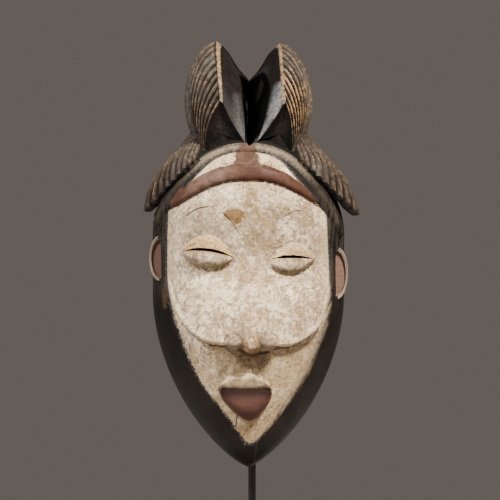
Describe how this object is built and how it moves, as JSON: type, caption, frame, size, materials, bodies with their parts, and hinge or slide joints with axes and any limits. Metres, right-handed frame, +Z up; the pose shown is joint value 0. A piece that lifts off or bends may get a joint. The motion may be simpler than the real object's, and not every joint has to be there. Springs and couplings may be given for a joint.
{
  "type": "carved mask on a display rod",
  "caption": "Carved white-faced mask with a two-lobed crest, side tresses and a hollow back, held by a steel rod on a square foot.",
  "frame": {"origin": "middle of the underside of the stand's square foot", "axes": "+Z up, the mask's face looks along -Y, its own left hand side is +X"},
  "size_m": [0.1714, 0.1588, 0.4125],
  "materials": {
    "carved_wood": "white kaolin face, red-brown lips, diadem and ears, blackened hair, worn",
    "stand_steel": "blackened steel, satin"
  },
  "bodies": {
    "root": {"mask": "carved_wood", "stand_rod": "stand_steel", "base_plate": "stand_steel"}
  },
  "joints": []
}
